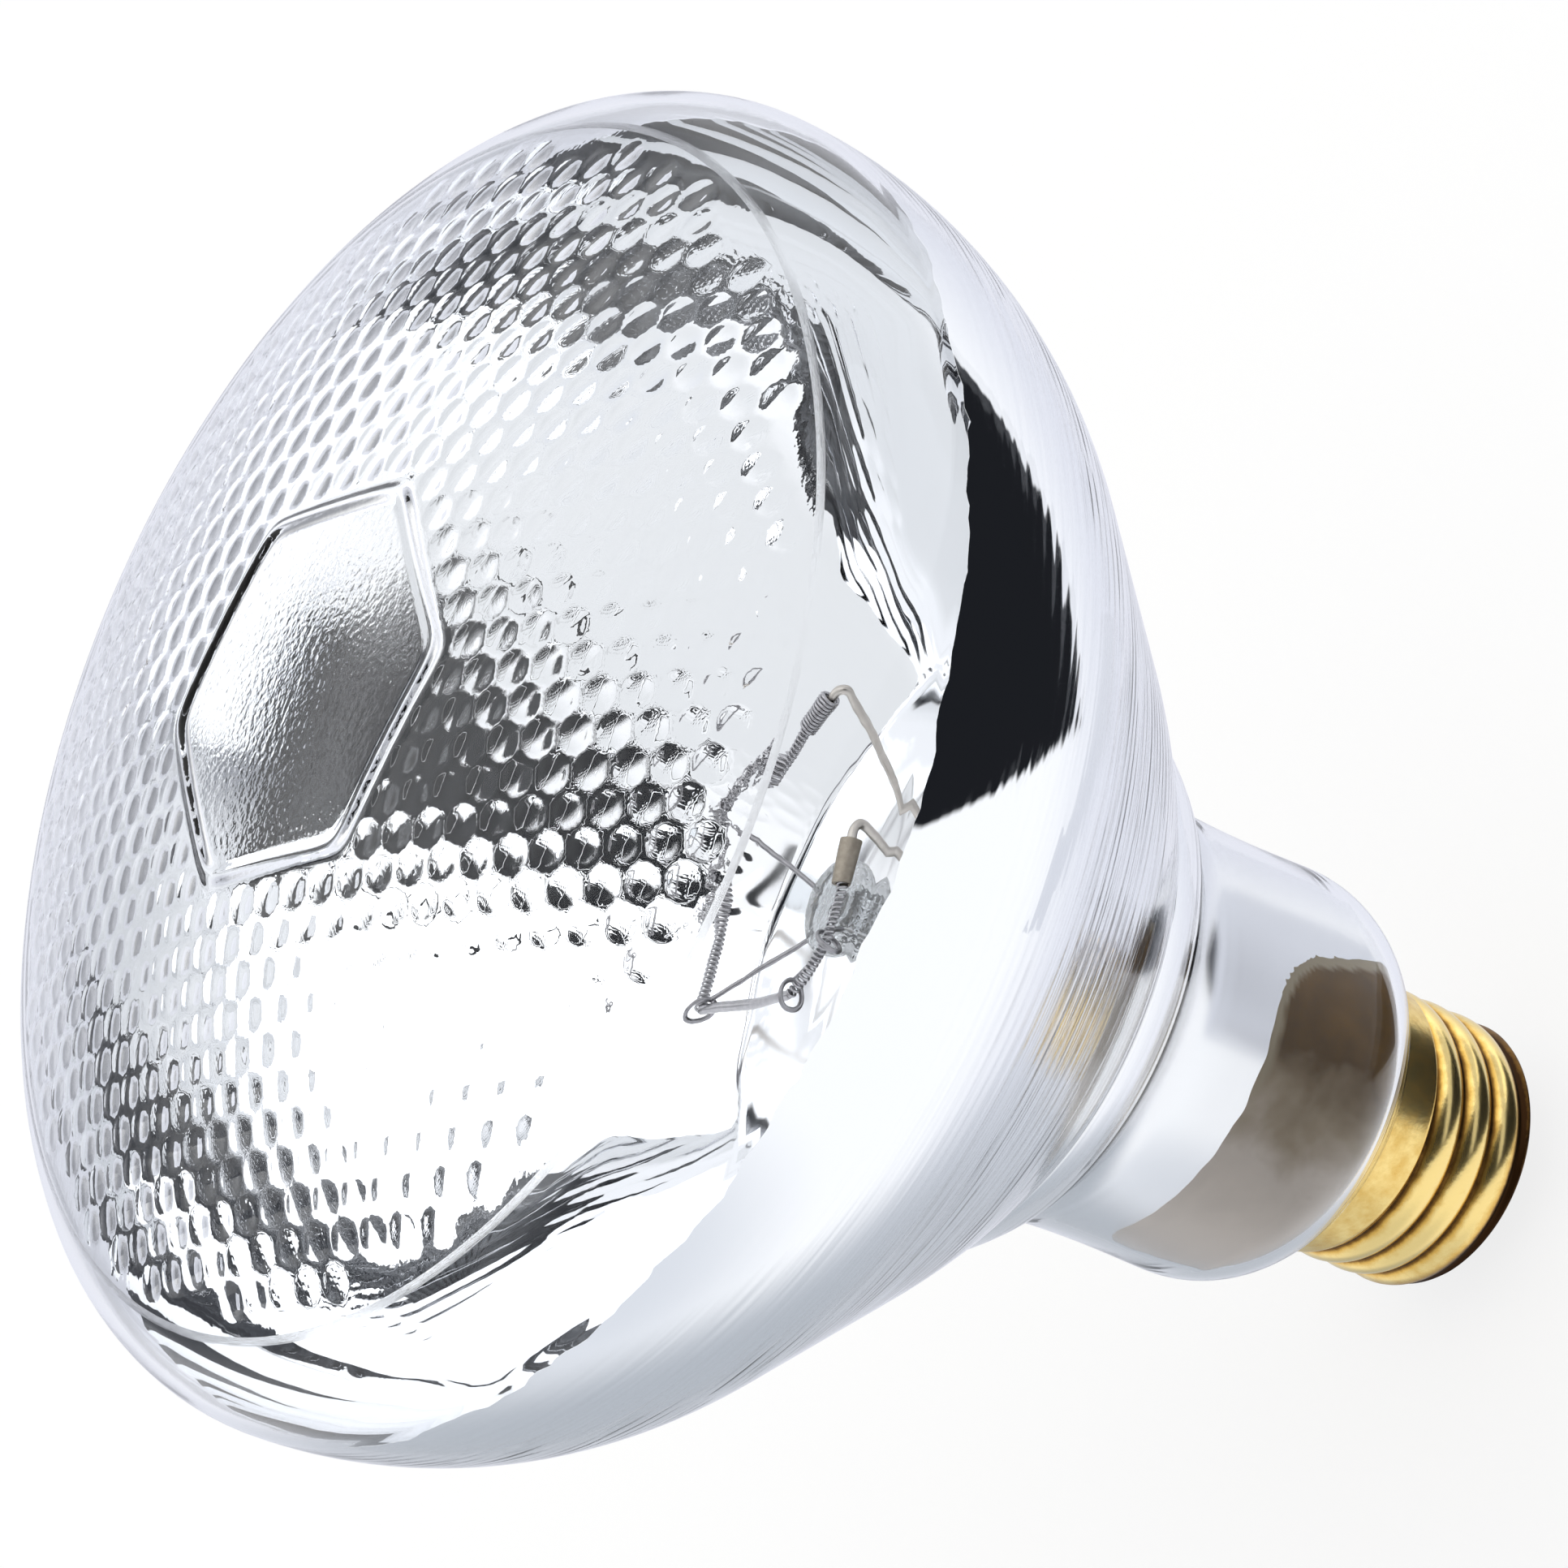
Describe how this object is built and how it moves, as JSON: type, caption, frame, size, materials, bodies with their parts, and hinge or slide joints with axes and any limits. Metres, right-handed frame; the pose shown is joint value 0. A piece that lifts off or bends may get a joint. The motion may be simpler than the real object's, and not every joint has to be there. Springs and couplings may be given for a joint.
{
  "type": "incandescent reflector bulb",
  "caption": "Clear-faced reflector heat lamp: domed glass bulb with a mirrored cone, filament on a glass stem, bulged neck and a brass screw base.",
  "frame": {"origin": "middle of the solder flat on the centre contact, the lowest point of the lamp on its axis", "axes": "+Z along the lamp's axis from the screw base to the face, -Y towards the side with the bare window in the neck"},
  "size_m": [0.1206, 0.1206, 0.1395],
  "materials": {
    "clear_glass": "blown clear glass, smooth",
    "mirror_film": "vapour-deposited aluminium",
    "stem_glass": "lamp-worked lead glass",
    "nickel_wire": "drawn nickel wire, dull",
    "crimp_metal": "crimped nickel sleeve, heat tinted",
    "tungsten": "coiled tungsten wire, dark grey",
    "support_metal": "drawn molybdenum wire",
    "copper_wire": "drawn copper-clad wire",
    "cement": "baked basing cement, matte",
    "shell_brass": "rolled brass, tarnished in the grooves and at the foot",
    "solder": "lead-tin solder, dull",
    "insulator_glass": "moulded black glass",
    "contact_brass": "pressed brass"
  },
  "bodies": {
    "root": {"glass_envelope": "clear_glass", "reflector_film": "mirror_film", "glass_stem": "stem_glass", "inner_lead_1": "nickel_wire", "inner_lead_2": "nickel_wire", "filament_clamp_1": "crimp_metal", "filament_clamp_2": "crimp_metal", "filament": "tungsten", "support_wire_1": "support_metal", "support_wire_2": "support_metal", "support_wire_3": "support_metal", "support_wire_4": "support_metal", "outer_lead_contact": "copper_wire", "outer_lead_shell": "copper_wire", "basing_cement": "cement", "screw_shell": "shell_brass", "side_solder": "solder", "base_insulator": "insulator_glass", "centre_contact": "contact_brass", "contact_solder": "solder"}
  },
  "joints": []
}
